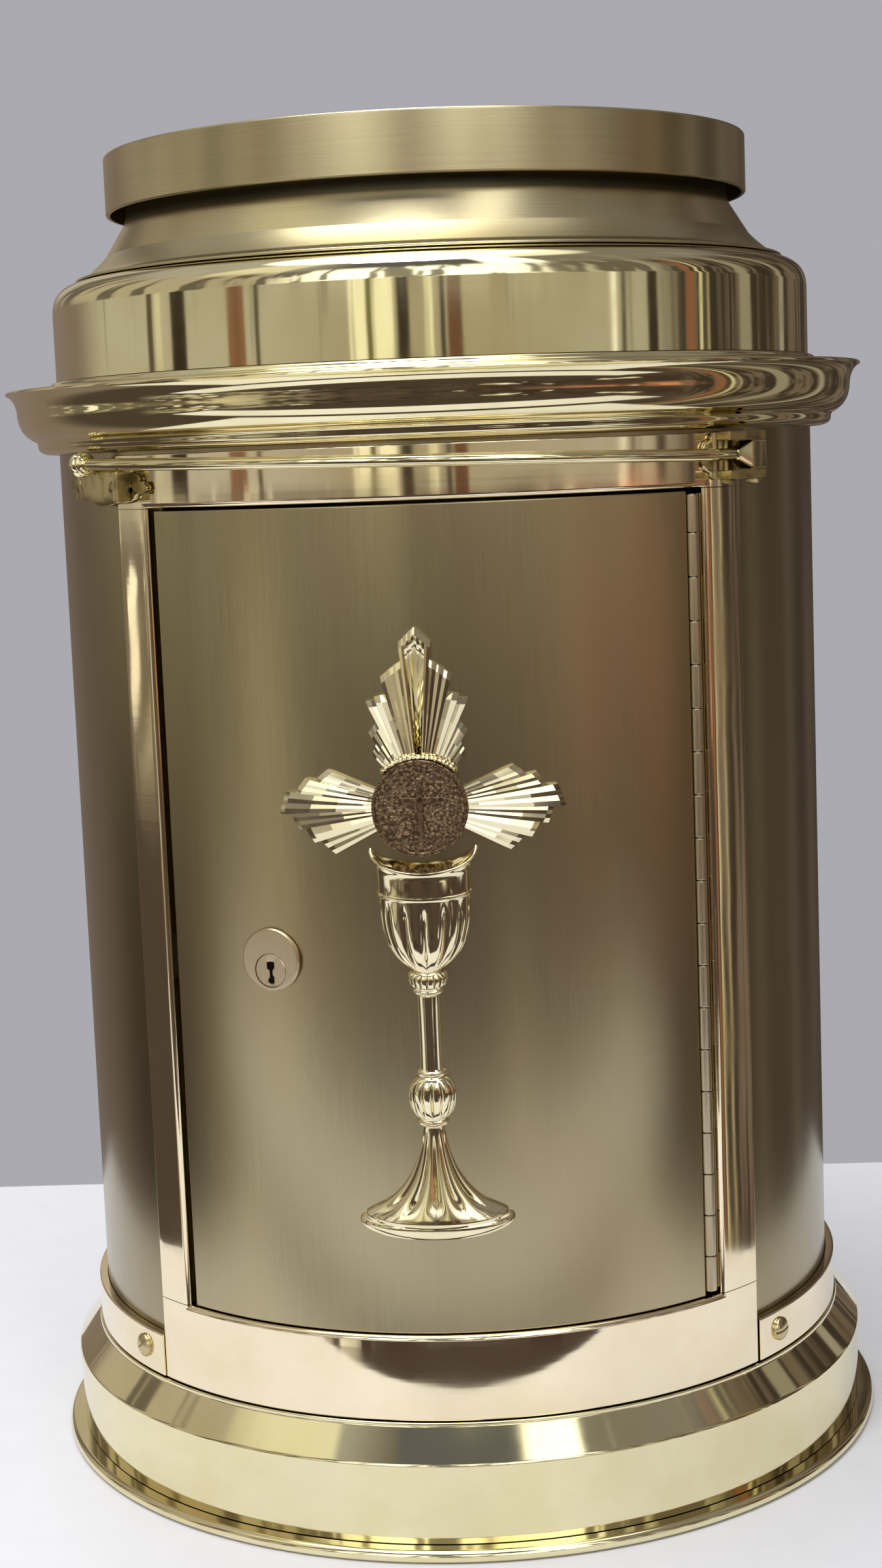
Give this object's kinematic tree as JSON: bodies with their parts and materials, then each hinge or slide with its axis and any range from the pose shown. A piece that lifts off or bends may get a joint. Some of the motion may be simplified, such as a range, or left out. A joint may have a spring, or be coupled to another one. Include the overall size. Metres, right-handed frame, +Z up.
{
  "type": "altar tabernacle",
  "caption": "Round brass altar tabernacle: curved locking door with a rayed chalice emblem on a piano hinge, polished frame, stepped base, moulded cornice, coved cap and a swinging veil rod.",
  "frame": {"origin": "middle of the underside of the base, on the body's axis", "axes": "+Z up the body's axis, the door faces -Y, +X to the right seen from the front"},
  "size_m": [0.345, 0.345, 0.5215],
  "materials": {
    "polished_brass": "mirror polished, pale gold",
    "satin_brass": "satin, brushed upright on the body and door, spun round the cap and neck, champagne tone",
    "cast_brass": "cast and tarnished to a dull gold",
    "gilded_lining": "gilt, satin",
    "steel": "zinc plated"
  },
  "bodies": {
    "root": {"foot_ring": "polished_brass", "base_plate": "steel", "base_skirt": "polished_brass", "base_collar": "polished_brass", "collar_screw_left": "polished_brass", "collar_screw_right": "polished_brass", "body_shell": "satin_brass", "frame_apron": "polished_brass", "frame_rail": "polished_brass", "frame_stile_left": "polished_brass", "frame_stile_right": "polished_brass", "hinge_leaf_fixed": "polished_brass", "hinge_pin": "steel", "door_stop_lower": "satin_brass", "door_stop_upper": "satin_brass", "lock_strike": "steel", "cavity_floor": "gilded_lining", "cavity_ceiling": "gilded_lining", "cavity_liner": "gilded_lining", "cornice_ring": "polished_brass", "upper_drum": "polished_brass", "neck": "satin_brass", "cap_lid": "satin_brass", "rod_bracket_left": "cast_brass", "rod_bracket_right": "cast_brass", "bracket_screw_left": "cast_brass", "bracket_screw_right": "cast_brass", "veil_rod_pin": "cast_brass"},
    "door": {"door_panel": "satin_brass", "door_liner": "gilded_lining", "hinge_leaf_moving": "satin_brass", "lock_cylinder": "satin_brass", "lock_nut": "steel", "emblem_casting": "polished_brass", "emblem_host": "cast_brass", "emblem_nut_upper": "steel", "emblem_nut_middle": "steel", "emblem_nut_lower": "steel"},
    "plug": {"lock_plug": "satin_brass", "lock_cam": "steel", "cam_screw": "steel"},
    "rod": {"veil_rod": "polished_brass"}
  },
  "joints": [
    {"name": "door_hinge", "type": "hinge", "parent": "root", "child": "door", "pos_m": [0.09614, -0.11915, 0.2326], "axis": [0, 0, 1], "range_deg": [0, 125]},
    {"name": "lock_turn", "type": "hinge", "parent": "door", "child": "plug", "pos_m": [-0.06233, -0.14268, 0.2164], "axis": [0.4004, 0.9164, 0], "range_deg": [0, 90]},
    {"name": "veil_rod_swing", "type": "hinge", "parent": "root", "child": "rod", "pos_m": [0.11964, -0.10848, 0.3958], "axis": [0, 0, 1], "range_deg": [0, 100]}
  ]
}
